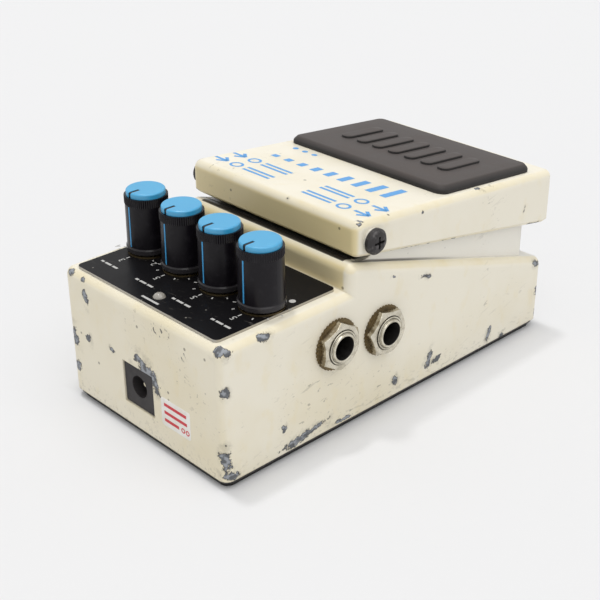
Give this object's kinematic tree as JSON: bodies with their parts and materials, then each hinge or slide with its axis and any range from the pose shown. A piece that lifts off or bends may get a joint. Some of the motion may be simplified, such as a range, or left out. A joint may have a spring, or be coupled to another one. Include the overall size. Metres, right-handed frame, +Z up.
{
  "type": "delay pedal",
  "caption": "Wedge-shaped delay effects pedal with knobs on a rear panel, a hinged rubber-topped treadle over a battery well, side audio jacks and a rear power jack.",
  "frame": {"origin": "on the table under the middle of the pedal's length and width", "axes": "+X to the right seen from the rear face, towards the outputs; +Y from the rear face to the treadle's front; +Z up"},
  "size_m": [0.073, 0.1313, 0.0593],
  "materials": {
    "cream_paint": "satin",
    "panel_black": "gloss",
    "base_steel": "satin",
    "base_rubber": "matte",
    "pad_rubber": "matte",
    "screw_dark": "satin",
    "screw_zinc": "satin",
    "nylon": "satin",
    "spring_steel": "satin",
    "thumb_black": "satin",
    "knob_black": "satin",
    "cap_blue": "gloss",
    "shaft_metal": "satin",
    "pot_case": "satin",
    "nut_brass": "satin",
    "nickel": "polished",
    "washer_brass": "satin",
    "jack_black": "satin",
    "power_black": "satin",
    "pin_brass": "polished",
    "lamp_clear": "gloss",
    "board_green": "satin",
    "chip_black": "satin"
  },
  "bodies": {
    "enclosure": {"enclosure": "cream_paint", "battery_block": "cream_paint", "control_panel": "panel_black", "base_plate": "base_steel", "base_rubber": "base_rubber", "base_screws": "screw_dark", "hinge_screws": "screw_dark", "return_spring": "spring_steel", "guide_bush": "nylon", "foot_switch": "chip_black", "switch_board": "board_green", "switch_screws": "screw_zinc", "pot_nuts": "nut_brass", "pot_washers": "washer_brass", "jack_bushings": "nickel", "jack_nuts": "nickel", "jack_washers": "washer_brass", "dc_jack": "power_black", "dc_pin": "pin_brass", "check_led": "lamp_clear", "led_holder": "jack_black", "main_board": "board_green", "board_screws": "screw_zinc", "board_parts": "chip_black", "mode_switch": "pot_case", "time_pot": "pot_case", "feedback_pot": "pot_case", "level_pot": "pot_case", "input_a_jack": "jack_black", "input_b_jack": "jack_black", "output_a_jack": "jack_black", "output_b_jack": "jack_black"},
    "treadle": {"treadle": "cream_paint", "tread_pad": "pad_rubber", "hinge_bushes": "nylon"},
    "thumbscrew_clip": {"thumbscrew_clip": "screw_zinc"},
    "thumbscrew": {"thumbscrew": "thumb_black"},
    "switch_plunger": {"switch_plunger": "jack_black"},
    "mode_control": {"mode_knob": "knob_black", "mode_cap": "cap_blue", "mode_shaft": "shaft_metal"},
    "time_control": {"time_knob": "knob_black", "time_cap": "cap_blue", "time_shaft": "shaft_metal"},
    "feedback_control": {"feedback_knob": "knob_black", "feedback_cap": "cap_blue", "feedback_shaft": "shaft_metal"},
    "level_control": {"level_knob": "knob_black", "level_cap": "cap_blue", "level_shaft": "shaft_metal"}
  },
  "joints": [
    {"name": "treadle_hinge", "type": "hinge", "parent": "enclosure", "child": "treadle", "pos_m": [0, -0.0138, 0.0531], "axis": [1, 0, 0], "range_deg": [-2.5, 90], "stiffness_Nm_per_rad": 2, "springref_deg": 0.74, "deforming": ["return_spring"]},
    {"name": "thumbscrew_feed", "type": "slide", "parent": "treadle", "child": "thumbscrew_clip", "axis": [0, -1, 0], "range_m": [0, 0.0021]},
    {"name": "thumbscrew_turn", "type": "hinge", "parent": "thumbscrew_clip", "child": "thumbscrew", "pos_m": [0, 0.0635, 0.0416], "axis": [0, -1, 0], "range_deg": [0, 1080]},
    {"name": "plunger_press", "type": "slide", "parent": "enclosure", "child": "switch_plunger", "axis": [0, 0, -1], "range_m": [0, 0.0008], "stiffness_N_per_m": 400, "springref_m": -0.0005},
    {"name": "mode_turn", "type": "hinge", "parent": "enclosure", "child": "mode_control", "pos_m": [-0.0231, -0.0427, 0.05], "axis": [0, 0, 1], "range_deg": [-120, 120]},
    {"name": "time_turn", "type": "hinge", "parent": "enclosure", "child": "time_control", "pos_m": [-0.0077, -0.0427, 0.05], "axis": [0, 0, 1], "range_deg": [-150, 150]},
    {"name": "feedback_turn", "type": "hinge", "parent": "enclosure", "child": "feedback_control", "pos_m": [0.0077, -0.0427, 0.05], "axis": [0, 0, 1], "range_deg": [-150, 150]},
    {"name": "level_turn", "type": "hinge", "parent": "enclosure", "child": "level_control", "pos_m": [0.0231, -0.0427, 0.05], "axis": [0, 0, 1], "range_deg": [-150, 150]}
  ],
  "couplings": [
    {"joint": "thumbscrew_turn", "follows": "thumbscrew_feed", "rad_per_m": 8976}
  ]
}
